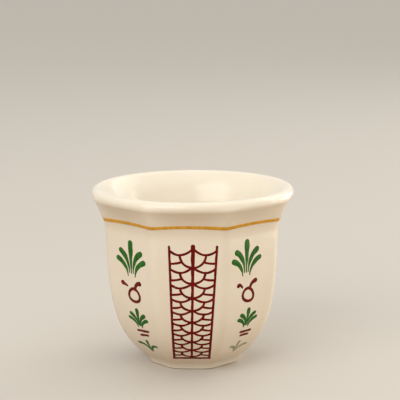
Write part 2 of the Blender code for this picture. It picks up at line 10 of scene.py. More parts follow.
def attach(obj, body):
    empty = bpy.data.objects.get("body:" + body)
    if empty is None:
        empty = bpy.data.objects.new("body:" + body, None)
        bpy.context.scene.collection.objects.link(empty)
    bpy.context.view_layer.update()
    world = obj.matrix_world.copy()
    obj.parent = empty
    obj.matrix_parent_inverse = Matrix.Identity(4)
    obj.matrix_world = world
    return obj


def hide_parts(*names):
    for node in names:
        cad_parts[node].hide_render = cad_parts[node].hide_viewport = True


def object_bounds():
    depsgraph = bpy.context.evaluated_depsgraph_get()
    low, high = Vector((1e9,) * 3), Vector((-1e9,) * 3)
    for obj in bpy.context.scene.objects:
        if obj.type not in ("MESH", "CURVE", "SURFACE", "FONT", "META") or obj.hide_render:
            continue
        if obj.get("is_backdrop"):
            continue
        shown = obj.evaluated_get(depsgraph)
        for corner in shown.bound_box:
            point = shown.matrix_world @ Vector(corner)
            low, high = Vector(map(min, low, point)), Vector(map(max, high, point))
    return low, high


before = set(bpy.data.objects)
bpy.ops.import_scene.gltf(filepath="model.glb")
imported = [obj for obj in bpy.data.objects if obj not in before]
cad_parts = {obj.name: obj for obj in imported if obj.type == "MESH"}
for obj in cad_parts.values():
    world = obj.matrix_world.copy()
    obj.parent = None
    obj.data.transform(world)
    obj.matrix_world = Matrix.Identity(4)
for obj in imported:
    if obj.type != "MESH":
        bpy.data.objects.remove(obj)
CAD_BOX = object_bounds()

# Body, in metres, as the frame has it. A flat is the distance from the cup's axis to a panel's middle,
# and a corner is the radius that rounds the edge between two panels.
PANELS = 8
HEIGHT = CAD_BOX[1][2]
LIP_RADIUS = CAD_BOX[1][0]
LIP_THICKNESS = 0.0038
FLARE_ANGLE = math.radians(45)
WALL = 0.0030
WAIST_FLAT = 0.02728
WAIST_CORNER = 0.0045
BOWL_FADE = 0.0102
SHOULDER_FLAT = 0.0150
SHOULDER_SOFT = 0.0003
SHOULDER_TOP = 0.0080
FOOT_FLAT = 0.0139
FOOT_CORNER = 0.0055
FOOT_HEIGHT = 0.0020
FOOT_EDGE = 0.0004
RECESS_RADIUS = 0.0095
RECESS_DEPTH = 0.0012
FLOOR_HEIGHT = 0.0048
DISH = 0.0050
LINE_HEIGHT = HEIGHT - 0.0085
ROUNDING_START = LINE_HEIGHT
ROUNDING_END = LINE_HEIGHT + 0.0078

# Bead of enamel: how deep its underside and edges are sunk in the glaze, how high its middle stands once
# it is wide enough, and where the points across it lie, in shares of its half width
BEAD_ROOT = -0.00004
BEAD_EDGE = -0.000008
BEAD_CROWN = 0.00006
BEAD_FULL_HALF = 0.00018
BEAD_DOME = 4
BEAD_TOP = (-1.0, -0.88, -0.6, 0.0, 0.6, 0.88, 1.0)
BEAD_SIDES = np.array((*BEAD_TOP, 1.0, -1.0))
END_TURNS = np.radians((28, 55, 78))

# Hand that draws the strokes: how much they swell and sway, and over what length
HAND_SEED = 7
HAND_WIDTH = 0.06
HAND_SWAY = 0.00003
HAND_PERIOD = 0.004

# Line under the flare: its arch on each panel, its sag at the cup's sides and its waves round the cup
LINE_WIDTH = 0.00115
LINE_ARCH = 0.0004
LINE_SAG = 0.0005
LINE_SWAYS = 3
LINE_SWELLS = 5

# Column of scales. Distances down the wall are measured from the line, here and in the stacks.
COLUMN_TOP = 0.0059
COLUMN_SPIKE = 0.0008
COLUMN_TOP_HALF = 0.0073
COLUMN_LOW_HALF = 0.00545
COLUMN_LEAN = 0.02
SILL_DOWN = 0.0456
SILL_DROP = 0.0009
SCALE_ROWS = 9
SCALE_TOP_PITCH = 0.0058
SCALE_PITCH_EASE = 0.72
SCALE_STROKE = 0.00078
SIDE_STROKE = 0.00079
STEM_TOP_STROKE = 0.00139
STEM_LOW_STROKE = 0.00078
STEM_TAPER = 3
STEM_INSET = STEM_LOW_STROKE / 4
SILL_STROKE = 0.00105

# Scales, in shares of the column's half width and of a row's pitch
SCALLOP_LOW = 0.55
SCALLOP_DEPTH = 0.32
SCALLOP_SIDE = 0.07
BARB_SIDE = 0.77
BARB_SAG = 0.04
BARB_TURN = math.radians(33)

# Sprigs: level of the base down from the line, reach of the leaves up and to a side, their width at the
# fullest and at the base, and the step from one base to the next
LARGE_SPRIG = {
    "base": 0.0159, "height": 0.0105, "spread": 0.0065, "width": 0.00205, "point": 0.00045, "step": 0.00078,
}
SMALL_SPRIG = {
    "base": 0.0334, "height": 0.0060, "spread": 0.0044, "width": 0.00148, "point": 0.00045, "step": 0.00046,
}
LOW_SPRIG = {
    "base": 0.0437, "height": 0.0045, "spread": 0.0045, "width": 0.0012, "point": 0.0008, "step": 0.00020,
}

# Leaves of a fan from left to right: the tip's place to the side and up and the leaf's width, in shares
# of the sprig's, and the place of its bend, in shares of the way to the tip
FULL_BEND = (0.06, 0.68)
LOW_BEND = (0.27, 0.95)
LOW_HOOK = (0.20, 1.10)
FULL_FAN = (
    (-1.0, 0.41, 0.87, FULL_BEND),
    (-0.80, 0.68, 0.95, FULL_BEND),
    (0.0, 1.0, 1.10, FULL_BEND),
    (0.80, 0.68, 0.95, FULL_BEND),
    (1.0, 0.41, 0.87, FULL_BEND),
)
LONG_LEFT_FAN = ((-1.06, 0.60, 1.0, LOW_HOOK), (-0.12, 1.0, 1.05, LOW_BEND), (0.88, 0.58, 0.85, LOW_HOOK))
LONG_RIGHT_FAN = ((-0.76, 0.54, 0.85, LOW_HOOK), (-0.06, 1.0, 1.0, LOW_BEND), (1.0, 0.52, 1.0, LOW_HOOK))
LEAF_FULL = 0.85
LEAF_SWELL = 1.3
LEAF_BASE_DROP = 0.10

# Bud: a ring with a stalk, and a loose stalk. Spots of the stalks are measured from the ring's middle.
BUD_DOWN = 0.0231
BUD_WIDTH = 0.00578
BUD_HEIGHT = 0.0053
BUD_STROKE = 0.00105
BUD_EGG = 0.15
STALK_WIDTH = 0.0016
STALK_NECK = 0.0011
STALK_ROOT = (0.0006, -0.0020)
STALK_BEND = (0.0010, -0.0041)
STALK_TIP = (0.0028, -0.0042)
LOOSE_STALK_NECK = 0.0007
LOOSE_STALK_ROOT = (-0.0028, -0.0027)
LOOSE_STALK_HOOKED = ((-0.0037, -0.0040), (-0.0045, -0.0036))
LOOSE_STALK_STRAIGHT = ((-0.0039, -0.0031), (-0.0047, -0.0034))
BAR_STROKE = 0.00096

# Panels, counted from the front. All of the ornament is turned a little on the body.
ORNAMENT_TURN = math.radians(1.75)
COLUMN_PANELS = {"front": 0, "right": 2, "back": 4, "left": 6}
STACK_PANELS = {"front_left": -1, "front_right": 1, "back_right": 3, "back_left": 5}

# Marks are put on by hand, so stacks differ: how far each group of marks stands off the panel's middle,
# how much a stack is drawn out about its small sprig and how broad its marks are, the place, length and
# turn of its bars, the skew of its ring, which stacks have a hooked stalk and a low sprig that is longer
# to the right, and the one low sprig whose green is painted paler: a painted highlight of the glaze on it
LARGE, BUD, SMALL, BARS, LOW = range(5)
STACK_SLIPS = {
    "front_left": (0.0, 0.0005, 0.0006, 0.0014, 0.0011),
    "front_right": (-0.0030, -0.0016, -0.00045, 0.0001, -0.0008),
    "back_right": (0.0008, 0.0003, 0.0006, 0.0, -0.0004),
    "back_left": (-0.0006, -0.0003, 0.0002, 0.0005, 0.0008),
}
STACK_STRETCH = {"front_left": 0.0, "front_right": 0.03, "back_right": 0.02, "back_left": -0.01}
STACK_BREADTH = {"front_left": 1.06, "front_right": 0.98, "back_right": 1.0, "back_left": 1.03}
UPPER_BARS = {
    "front_left": {"down": 0.0353, "length": 0.0058, "turn": -0.09},
    "front_right": {"down": 0.0357, "length": 0.0052, "turn": 0.0},
    "back_right": {"down": 0.0354, "length": 0.0056, "turn": -0.05},
    "back_left": {"down": 0.0353, "length": 0.0053, "turn": 0.06},
}
LOWER_BARS = {
    "front_left": {"down": 0.0369, "length": 0.0043, "turn": -0.18},
    "front_right": {"down": 0.0370, "length": 0.0041, "turn": 0.0},
    "back_right": {"down": 0.0370, "length": 0.0040, "turn": -0.03},
    "back_left": {"down": 0.0369, "length": 0.0042, "turn": 0.04},
}
RING_SKEWS = {"front_left": 0.0, "front_right": 0.2, "back_right": 0.1, "back_left": -0.05}
HOOKED_STALK_PANELS = ("front_right", "back_left")
# Low sprig whose enamel carries a painted highlight
HIGHLIGHT_PALED_NODE = "sprig_low_front_right"

# Steps of the meshes, and how much the steps round the cup crowd together at the corners
PANEL_STEPS = 26
CORNER_CROWDING = 0.6
WALL_STEPS = 96
LIP_STEPS = 20
INSIDE_STEPS = 60
DISH_STEPS = 16
FILLET_STEPS = 6
CURVE_STEPS = 14
STEM_STEPS = 80
RING_STEPS = 56
PROFILE_STEPS = 1600
FLOOR_STEPS = 96

# Finishes: colours at places along a noise, two values that the roughness swings between, and a ripple.
# Noises have so many waves to a metre.
NOISE_SWING = (0.3, 0.7)
GLAZE_TONES = ((0.32, (0.820, 0.750, 0.618)), (0.68, (0.850, 0.784, 0.656)))
GLAZE_LOOK = {
    "tone_noise": {"scale": 90.0, "detail": 4.0},
    "gloss_noise": {"scale": 260.0, "detail": 2.0},
    "roughness": (0.14, 0.22),
    "ripple_noise": {"scale": 330.0, "detail": 1.0},
    "ripple": {"depth": 0.00008, "strength": 0.35},
}
GLAZE_SUBSURFACE = {
    "Subsurface Weight": 0.08,
    "Subsurface Radius": (1.0, 0.7, 0.45),
    "Subsurface Scale": 0.0012,
}
BISQUE_TONES = ((0.35, (0.62, 0.54, 0.42)), (0.65, (0.74, 0.66, 0.53)))
BISQUE_LOOK = {
    "tone_noise": {"scale": 1400.0, "detail": 5.0},
    "gloss_noise": {"scale": 2600.0, "detail": 2.0},
    "roughness": (0.6, 0.85),
    "ripple_noise": {"scale": 5200.0, "detail": 3.0},
    "ripple": {"depth": 0.00004, "strength": 0.6},
}
ENAMEL_FULL_PLACE = 0.36
ENAMEL_THIN_PLACE = 0.66
ENAMEL_LOOK = {
    "tone_noise": {"scale": 700.0, "detail": 3.0, "stretch": (1.0, 1.0, 0.45)},
    "gloss_noise": {"scale": 1100.0, "detail": 2.0},
    "roughness": (0.22, 0.40),
    "ripple_noise": {"scale": 2400.0, "detail": 2.0},
    "ripple": {"depth": 0.00002, "strength": 0.5},
}
ENAMEL_SPECULAR = 0.12
ENAMELS = {
    "dark_red_enamel": {"thin": (0.175, 0.0036, 0.0020), "full": (0.105, 0.0021, 0.0011)},
    "leaf_green_enamel": {"thin": (0.032, 0.165, 0.018), "full": (0.017, 0.104, 0.008)},
    "bud_red_enamel": {"thin": (0.185, 0.0085, 0.0026), "full": (0.105, 0.0045, 0.0014)},
    # Paler green of one low sprig: a painted highlight, the glaze's sheen over it painted into its colour
    "highlight_paled_green_enamel": {"thin": (0.42, 0.42, 0.30), "full": (0.30, 0.33, 0.21)},
    "ochre_enamel": {"thin": (0.76, 0.42, 0.054), "full": (0.64, 0.33, 0.032)},
}

# Camera that the photograph was taken with, in the same frame
LOOK_AT = Vector((0.002357, 0.0, 0.051976))
CAMERA_DISTANCE = 0.4530
CAMERA_DROP = math.radians(10.4)
CAMERA_ROLL = math.radians(0.36)
CAMERA_TURN = math.radians(2.25)
CAMERA_LENS = 127.1
SENSOR = 36.0

# Studio. The floor gives the cup a warmer bounce than its own colour. The rim lamps stand low and are
# shaded from the floor, so that they light the cup alone.
FLOOR_RADIUS = 6.0
FLOOR_CLEARANCE = 0.0001
FLOOR_COLOUR = (0.62, 0.58, 0.52)
FLOOR_BOUNCE = (0.36, 0.24, 0.14)
FLOOR_ROUGHNESS = 0.55
SKY_COLOUR = (1.0, 0.97, 0.92)
SKY_STRENGTH = 0.75
DAY_LIGHT = (1.0, 0.98, 0.95)
WARM_LIGHT = (1.0, 0.92, 0.78)
LAMPS = {
    "overhead": {"place": (0.0, -0.10, 0.90), "size": (0.9, 0.9), "level": 0.18, "colour": DAY_LIGHT},
    "window": {"place": (0.60, 0.45, 0.50), "size": (0.6, 0.6), "level": 0.24, "colour": DAY_LIGHT},
    "front_left": {"place": (-0.45, -0.70, 0.60), "size": (0.8, 0.6), "level": 0.43, "colour": DAY_LIGHT},
    "side_strip": {"place": (0.60, 0.15, 0.12), "size": (0.12, 0.5), "level": 0.16, "colour": WARM_LIGHT},
    "back_low": {"place": (0.50, 0.45, 0.09), "size": (0.40, 0.14), "level": 0.24, "colour": WARM_LIGHT},
    "low_glow": {"place": (0.20, 0.02, 0.012), "size": (0.14, 0.02), "level": 0.11, "colour": WARM_LIGHT},
    "low_front": {"place": (0.35, -0.35, 0.03), "size": (0.30, 0.05), "level": 0.085, "colour": WARM_LIGHT},
}
RIM_LAMPS = ("side_strip", "back_low", "low_glow", "low_front")

PANEL_TURN = 2 * math.pi / PANELS
HALF_PANEL = math.tan(PANEL_TURN / 2)
LIP_ROUND = LIP_THICKNESS / 2
LIP_CENTRE_RADIUS = LIP_RADIUS - LIP_ROUND
LIP_CENTRE_HEIGHT = HEIGHT - LIP_ROUND
FLARE_END_RADIUS = LIP_CENTRE_RADIUS + LIP_ROUND * math.cos(FLARE_ANGLE)
FLARE_END_HEIGHT = LIP_CENTRE_HEIGHT - LIP_ROUND * math.sin(FLARE_ANGLE)

rng = np.random.default_rng(HAND_SEED)
cup_pieces = bpy.data.collections.new("cup_pieces")


# Form of the wall


def bowl_flat(height):
    """Flat of the wall without its flare: the foot, and the bowl that nears its full width as it rises."""
    foot = FOOT_FLAT + (SHOULDER_FLAT - FOOT_FLAT) * height / FOOT_HEIGHT
    bowl = WAIST_FLAT - (WAIST_FLAT - SHOULDER_FLAT) * np.exp((FOOT_HEIGHT - height) / BOWL_FADE)
    wider = (foot + bowl + np.hypot(foot - bowl, SHOULDER_SOFT)) / 2
    return np.where(height < SHOULDER_TOP, np.maximum(wider, bowl), bowl)


FLARE_REACH = FLARE_END_RADIUS - float(bowl_flat(FLARE_END_HEIGHT))
FLARE_RISE = 2 * FLARE_REACH / math.tan(FLARE_ANGLE)
FLARE_START = FLARE_END_HEIGHT - FLARE_RISE


def wall_flat(height):
    """Outside flat of the wall at a height, with the parabola of the flare."""
    flare = np.maximum(0.0, (height - FLARE_START) / FLARE_RISE)
    return bowl_flat(height) + FLARE_REACH * flare**2


HEIGHTS = np.linspace(0.0, FLARE_END_HEIGHT, PROFILE_STEPS)
SLOPES = np.gradient(wall_flat(HEIGHTS), HEIGHTS)
LENGTHS = np.concatenate(([0.0], np.cumsum(np.hypot(np.diff(wall_flat(HEIGHTS)), np.diff(HEIGHTS)))))
LINE_LENGTH = np.interp(LINE_HEIGHT, HEIGHTS, LENGTHS)


def corner_radius(flat):
    """Radius of the corner between two panels, from the foot's to the waist's as the cup widens."""
    grown = np.clip((flat - FOOT_FLAT) / (WAIST_FLAT - FOOT_FLAT), 0.0, 1.0)
    return FOOT_CORNER + (WAIST_CORNER - FOOT_CORNER) * grown


def eased(share):
    """A share from 0 to 1 that starts and ends gently."""
    return share * share * (3 - 2 * share)


def roundness(height):
    """0 where the section is an octagon, up to the line, and 1 where it is a circle, on top of the lip."""
    return eased(np.clip((height - ROUNDING_START) / (ROUNDING_END - ROUNDING_START), 0.0, 1.0))


def wall_points(across, down, lift):
    """Points over the front panel, seen flat: across it, down from the line and lifted off the glaze."""
    height = np.interp(LINE_LENGTH - down, LENGTHS, HEIGHTS)
    flat = wall_flat(height)
    across = across + flat * math.tan(ORNAMENT_TURN)
    corner = corner_radius(flat)
    half = (flat - corner) * HALF_PANEL
    turn = np.maximum(0.0, np.abs(across) - half) / corner
    slope = np.interp(height, HEIGHTS, SLOPES)
    lean = np.hypot(1.0, slope)
    reach = corner + lift / lean
    x = np.copysign(np.minimum(np.abs(across), half) + reach * np.sin(turn), across)
    y = corner - flat - reach * np.cos(turn)
    return np.stack([x, y, height - lift * slope / lean], axis=-1)


def panel_angles():
    """Angles round the cup from the front, closer together at the corners between panels."""
    steps = np.linspace(-1.0, 1.0, PANEL_STEPS + 1)[:-1]
    crowded = steps + CORNER_CROWDING * np.sin(math.pi * steps) / math.pi
    return np.concatenate([(panel + crowded / 2) * PANEL_TURN for panel in range(PANELS)])


ANGLES = panel_angles()
PANEL_ANGLES = (ANGLES + PANEL_TURN / 2) % PANEL_TURN - PANEL_TURN / 2


def section(flat, round_share, height):
    """Points round one level: an octagon with rounded corners, drawn towards a circle by a share."""
    corner = corner_radius(flat)
    reach = (flat - corner) / math.cos(PANEL_TURN / 2)
    edge = np.arctan((flat - corner) * HALF_PANEL / flat)
    offset = np.abs(PANEL_ANGLES)
    aside = reach * np.sin(PANEL_TURN / 2 - offset)
    rounded = reach * np.cos(PANEL_TURN / 2 - offset) + np.sqrt(np.maximum(0.0, corner**2 - aside**2))
    octagon = np.where(offset < edge, flat / np.cos(offset), rounded)
    radius = octagon + (flat - octagon) * round_share
    return np.stack([radius * np.sin(ANGLES), -radius * np.cos(ANGLES), height + 0 * ANGLES], axis=-1)


# Meshes


def skin(rings, around, start=0, closed=False):
    """Faces between rings of points that follow a start, and from the last to the first if closed."""
    faces = []
    for ring in range(rings if closed else rings - 1):
        here = start + ring * around
        there = start + (ring + 1) % rings * around
        for step in range(around):
            after = (step + 1) % around
            faces.append((here + step, here + after, there + after, there + step))
    return faces


def new_piece(name, points, faces, materials, slot, node):
    """Smooth mesh on the cup with the given finishes, standing for one of the frame's nodes; slot is not
    used.
    """
    mesh = bpy.data.meshes.new(name)
    mesh.from_pydata(points.tolist(), [], faces)
    mesh.shade_smooth()
    for material in materials:
        mesh.materials.append(material)
    piece = bpy.data.objects.new(name, mesh)
    bpy.context.scene.collection.objects.link(piece)
    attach(piece, "root")
    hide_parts(node)
    cup_pieces.objects.link(piece)
    return piece


# Body, in levels of (flat, round share, height)


def underside_levels():
    """Levels of the recess in the underside, and of the rounding at the foot's outer edge."""
    recess = []
    rounding = []
    edge = float(wall_flat(FOOT_EDGE))
    for share in np.linspace(0.0, 1.0, FILLET_STEPS + 1):
        recess.append((RECESS_RADIUS - RECESS_DEPTH * (1 - share), 1.0, RECESS_DEPTH * (1 - eased(share))))
        turn = share * math.pi / 2
        rounding.append((edge - FOOT_EDGE * (1 - math.sin(turn)), 0.0, FOOT_EDGE * (1 - math.cos(turn))))
    return recess, rounding


def outside_levels():
    """Up the wall from the foot's edge to the end of the flare, evenly spaced along it."""
    start = np.interp(FOOT_EDGE, HEIGHTS, LENGTHS)
    heights = np.interp(np.linspace(start, LENGTHS[-1], WALL_STEPS + 1)[1:], LENGTHS, HEIGHTS)
    return [(float(wall_flat(height)), float(roundness(height)), height) for height in heights]


def lip_levels():
    """Half round over the lip, from the end of the flare to the inside face."""
    angles = np.linspace(0.0, math.pi, LIP_STEPS + 1)[1:] - FLARE_ANGLE
    radii = LIP_CENTRE_RADIUS + LIP_ROUND * np.cos(angles)
    heights = LIP_CENTRE_HEIGHT + LIP_ROUND * np.sin(angles)
    return [(radius, float(roundness(height)), height) for radius, height in zip(radii, heights)]


def inside_levels():
    """Round inside, down from the lip to a dished floor."""
    share = np.maximum(0.0, (HEIGHTS - LINE_HEIGHT) / (FLARE_END_HEIGHT - LINE_HEIGHT))
    thickness = WALL + (LIP_THICKNESS - WALL) * share
    lean = np.hypot(1.0, SLOPES)
    radii = wall_flat(HEIGHTS) - thickness / lean
    heights = HEIGHTS + thickness * SLOPES / lean
    dish_edge = FLOOR_HEIGHT + DISH
    levels = np.linspace(heights[-1], dish_edge, INSIDE_STEPS + 1)[1:]
    turns = np.linspace(math.pi / 2, 0.0, DISH_STEPS + 1)[1:-1]
    dish = FLOOR_HEIGHT + DISH * (1 - np.cos(turns))
    wall = [(float(np.interp(level, heights, radii)), 1.0, level) for level in levels]
    floor = [(float(np.interp(z, heights, radii)) * math.sin(t), 1.0, z) for z, t in zip(dish, turns)]
    return wall + floor


def make_body(glaze, bisque):
    """Loft from the middle of the underside, up the outside and over the lip, to the floor inside."""
    recess, rounding = underside_levels()
    levels = recess + rounding + outside_levels() + lip_levels() + inside_levels()
    rings = [section(*level) for level in levels]
    count = len(ANGLES)
    points = np.concatenate([[(0.0, 0.0, RECESS_DEPTH)], *rings, [(0.0, 0.0, FLOOR_HEIGHT)]])
    last = 1 + (len(rings) - 1) * count
    faces = [(0, 1 + (step + 1) % count, 1 + step) for step in range(count)]
    faces += skin(len(rings), count, start=1)
    faces += [(last + step, last + (step + 1) % count, len(points) - 1) for step in range(count)]
    body = new_piece("glazed_body", points, faces, (glaze, bisque), "ivory_porcelain", "porcelain_body")
    bare_from = count * len(recess)
    bare_to = bare_from + count * (FILLET_STEPS // 2 + 1)
    for polygon in body.data.polygons[bare_from:bare_to]:
        polygon.material_index = 1


# Enamel beads, drawn on a panel seen flat: across it and down from the line


def by_hand(spine, halves):
    """The same stroke as a hand draws it, with a little sway and swell."""
    run = np.concatenate(([0.0], np.cumsum(np.hypot(*np.diff(spine, axis=0).T))))
    phases = rng.uniform(0.0, 2 * math.pi, 3)
    waves = np.sin(2 * math.pi * run / HAND_PERIOD + phases[:, None])
    return spine + HAND_SWAY * waves[:2].T, halves * (1 + HAND_WIDTH * waves[2])


def rounded_ends(spine, halves):
    """Adds the stations that round off both ends of a stroke."""
    sines, cosines = np.sin(END_TURNS)[:, None], np.cos(END_TURNS)
    first = (spine[0] - spine[1]) / np.hypot(*(spine[0] - spine[1])) * halves[0]
    last = (spine[-1] - spine[-2]) / np.hypot(*(spine[-1] - spine[-2])) * halves[-1]
    spine = np.concatenate([(spine[0] + first * sines)[::-1], spine, spine[-1] + last * sines])
    return spine, np.concatenate([(halves[0] * cosines)[::-1], halves, halves[-1] * cosines])


def bead_lifts(crown):
    """Lifts off the glaze of the points round a bead's section: a low dome and the sunk underside."""
    lifts = BEAD_EDGE + (crown - BEAD_EDGE) * (1 - BEAD_SIDES**BEAD_DOME)
    lifts[..., len(BEAD_TOP):] = BEAD_ROOT
    return lifts


def bead(spine, halves, closed=False):
    """Points (across, down, lift) and faces of one closed, low, domed bead of enamel along a spine."""
    if closed:
        along = np.roll(spine, -1, axis=0) - np.roll(spine, 1, axis=0)
    else:
        spine, halves = rounded_ends(*by_hand(spine, halves))
        along = np.gradient(spine, axis=0)
    along = along / np.hypot(*along.T)[:, None]
    aside = np.stack([-along[:, 1], along[:, 0]], axis=-1) * halves[:, None]
    flat = spine[:, None, :] + aside[:, None, :] * BEAD_SIDES[:, None]
    crown = BEAD_EDGE + (BEAD_CROWN - BEAD_EDGE) * np.minimum(1.0, halves / BEAD_FULL_HALF)
    lifts = bead_lifts(crown[:, None])
    points = np.concatenate([flat, lifts[..., None]], axis=-1).reshape(-1, 3)
    around = len(BEAD_SIDES)
    faces = skin(len(spine), around, closed=closed)
    if not closed:
        faces.append(tuple(range(around))[::-1])
        faces.append(tuple(range(len(points) - around, len(points))))
    return points, faces


def even_bead(spine, width):
    """Bead of one width all along."""
    return bead(spine, np.full(len(spine), width / 2))


def laid_on_panel(node, slot, material, beads, place, panel):
    """Piece that stands for a node: the beads of a mark, put in place on the wall of a panel."""
    points = []
    faces = []
    for bead_points, bead_faces in beads:
        start = sum(map(len, points))
        points.append(bead_points)
        faces += [tuple(start + corner for corner in face) for face in bead_faces]
    across, down, lift = np.concatenate(points).T
    across, down = place(across, down)
    turn = np.array(Matrix.Rotation(panel * PANEL_TURN, 3, "Z"))
    new_piece("painted_" + node, wall_points(across, down, lift) @ turn.T, faces, (material,), slot, node)


def make_line(material):
    """Line round the cup at the foot of the flare, arched a little on each panel and lower at the sides."""
    sway = np.sin(LINE_SWAYS * ANGLES + rng.uniform(0, 2 * math.pi)) * HAND_SWAY
    swell = np.sin(LINE_SWELLS * ANGLES + rng.uniform(0, 2 * math.pi)) * HAND_WIDTH
    arch = LINE_ARCH * (1 - (2 * PANEL_ANGLES / PANEL_TURN) ** 2)
    middle = LINE_HEIGHT + arch - LINE_SAG * np.sin(ANGLES) ** 2 + sway
    half = LINE_WIDTH / 2 * (1 + swell)
    rings = []
    for side, lift in zip(BEAD_SIDES, bead_lifts(BEAD_CROWN)):
        height = middle + half * side
        rings.append(section(wall_flat(height) + lift, roundness(height), height))
    faces = skin(len(rings), len(ANGLES), closed=True)
    new_piece("painted_line", np.concatenate(rings), faces, (material,), "ochre_enamel", "ochre_line")


# Column of scales


def column_nodes():
    """Levels down the stem where the scales meet it: the rows fill the column, closer towards its foot."""
    eases = SCALE_PITCH_EASE ** np.arange(SCALE_ROWS)
    first = COLUMN_TOP + COLUMN_SPIKE
    room = SILL_DOWN - SILL_DROP - first
    low_pitch = (room - SCALE_TOP_PITCH * eases.sum()) / (SCALE_ROWS - eases.sum())
    pitches = low_pitch + (SCALE_TOP_PITCH - low_pitch) * eases
    return first + np.concatenate(([0.0], np.cumsum(pitches)))


NODES = column_nodes()


def column_half(down):
    """Half width of the column, which narrows evenly from its top to its sill."""
    share = (down - COLUMN_TOP) / (SILL_DOWN - COLUMN_TOP)
    return COLUMN_TOP_HALF * (1 - share) + COLUMN_LOW_HALF * share


def column_place(across, down):
    """Rule that puts spots of the column on its panel, further to the right towards the top."""
    return across + COLUMN_LEAN * ((COLUMN_TOP + SILL_DOWN) / 2 - down), down


def scale_spots(side, row, outs, falls):
    """Spots of a scale, from shares of the half width and of the row's pitch."""
    down = NODES[row] + falls * (NODES[row + 1] - NODES[row])
    return np.stack([side * (outs * (column_half(down) - STEM_INSET) + STEM_INSET), down], axis=-1)


def scallop_fall(out):
    """Sag of a scallop slung between the side line and the stem, lowest part way."""
    inner = SCALLOP_DEPTH * (1 - ((SCALLOP_LOW - out) / SCALLOP_LOW) ** 2)
    outer = SCALLOP_DEPTH - (SCALLOP_DEPTH - SCALLOP_SIDE) * ((out - SCALLOP_LOW) / (1 - SCALLOP_LOW)) ** 2
    return np.where(out < SCALLOP_LOW, inner, outer)


def scale_arc(turn):
    """Shares on the quarter ellipse from a scallop's lowest point to the next node."""
    return SCALLOP_LOW * np.cos(turn), SCALLOP_DEPTH + (1 - SCALLOP_DEPTH) * np.sin(turn)


def scale_beads(side, row):
    """Scallop, the scale's own edge below it, and the barb from that edge to the side line."""
    shares = np.linspace(0.0, 1.0, CURVE_STEPS + 1)
    scallop = scale_spots(side, row, 1 - shares, scallop_fall(1 - shares))
    edge = scale_spots(side, row, *scale_arc(shares * math.pi / 2))
    tip_out, tip_fall = scale_arc(BARB_TURN)
    outs = 1 + (tip_out - 1) * shares
    falls = BARB_SIDE + (tip_fall - BARB_SIDE) * shares + 4 * BARB_SAG * shares * (1 - shares)
    barb = scale_spots(side, row, outs, falls)
    return [even_bead(spine, SCALE_STROKE) for spine in (scallop, edge, barb)]


def column_beads():
    """Stem, two side lines, a sill and the rows of scales between them."""
    downs = np.linspace(COLUMN_TOP, SILL_DOWN, STEM_STEPS + 1)
    swell = ((SILL_DOWN - downs) / (SILL_DOWN - COLUMN_TOP)) ** STEM_TAPER
    stem_halves = (STEM_LOW_STROKE + (STEM_TOP_STROKE - STEM_LOW_STROKE) * swell) / 2
    beads = [bead(np.stack([0 * downs, downs], axis=-1), stem_halves)]
    for side in (-1, 1):
        beads.append(even_bead(np.stack([side * column_half(downs), downs], axis=-1), SIDE_STROKE))
    outs = np.linspace(-COLUMN_LOW_HALF, COLUMN_LOW_HALF, CURVE_STEPS + 1)
    beads.append(even_bead(np.stack([outs, 0 * outs + SILL_DOWN], axis=-1), SILL_STROKE))
    for row in range(SCALE_ROWS):
        for side in (-1, 1):
            beads += scale_beads(side, row)
    return beads


# Stack of marks


def bent(start, bend, end):
    """Spots on the curve from start to end that a bend point pulls aside."""
    t = np.linspace(0.0, 1.0, CURVE_STEPS + 1)[:, None]
    return np.array(start) * (1 - t) ** 2 + np.array(bend) * 2 * t * (1 - t) + np.array(end) * t**2


def leaf(base, tip, bend, point, width):
    """Leaf that leaves its base upright as a point, bends out and swells to a round tip."""
    base, tip = np.array(base), np.array(tip)
    bend = base + (tip - base) * bend
    back = (bend - tip) / np.hypot(*(bend - tip))
    spine = bent(base, bend, tip + back * width / 2)
    shares = np.minimum(1.0, np.linspace(0.0, 1.0, CURVE_STEPS + 1) / LEAF_FULL)
    growth = np.sin(shares * math.pi / 2) ** LEAF_SWELL
    return bead(spine, (point + (width - point) * growth) / 2)


def sprig_beads(sprig, fan):
    """Leaves fanned out from bases that stand side by side, the outer ones a little lower."""
    middle = (len(fan) - 1) / 2
    beads = []
    for index, (out, up, fullness, bend) in enumerate(fan):
        aside = (index - middle) * sprig["step"]
        drop = LEAF_BASE_DROP * sprig["height"] * max(0, abs(index - middle) - 1)
        tip = (out * sprig["spread"], sprig["base"] - up * sprig["height"])
        base = (aside, sprig["base"] + drop)
        beads.append(leaf(base, tip, bend, sprig["point"], sprig["width"] * fullness))
    return beads


def sprig_middle(sprig):
    """Level of a sprig's middle, down from the line."""
    return sprig["base"] - sprig["height"] / 2


def stalk(start, bend, end, neck):
    """Stalk that swells from a neck, through spots that are measured from the bud's middle."""
    spine = bent(start, bend, end) + (0.0, BUD_DOWN)
    shares = np.linspace(0.0, 1.0, CURVE_STEPS + 1)
    return bead(spine, (neck + (STALK_WIDTH - neck) * shares) / 2)


def bud_beads(panel_name):
    """Ring with a stalk that rises from its top and bends over to the right."""
    turns = np.linspace(0.0, 2 * math.pi, RING_STEPS + 1)[:-1]
    across = (BUD_WIDTH - BUD_STROKE) / 2 * np.cos(turns) * (1 + BUD_EGG * np.sin(turns))
    down = BUD_DOWN + (BUD_HEIGHT - BUD_STROKE) / 2 * np.sin(turns) + RING_SKEWS[panel_name] * across
    ring = bead(np.stack([across, down], axis=-1), np.full(RING_STEPS, BUD_STROKE / 2), closed=True)
    return [ring, stalk(STALK_ROOT, STALK_BEND, STALK_TIP, STALK_NECK)]


def loose_stalk_beads(panel_name):
    """Second stalk, which stops short of the ring's upper left, hooked on some panels."""
    bend, tip = LOOSE_STALK_HOOKED if panel_name in HOOKED_STALK_PANELS else LOOSE_STALK_STRAIGHT
    return [stalk(LOOSE_STALK_ROOT, bend, tip, LOOSE_STALK_NECK)]


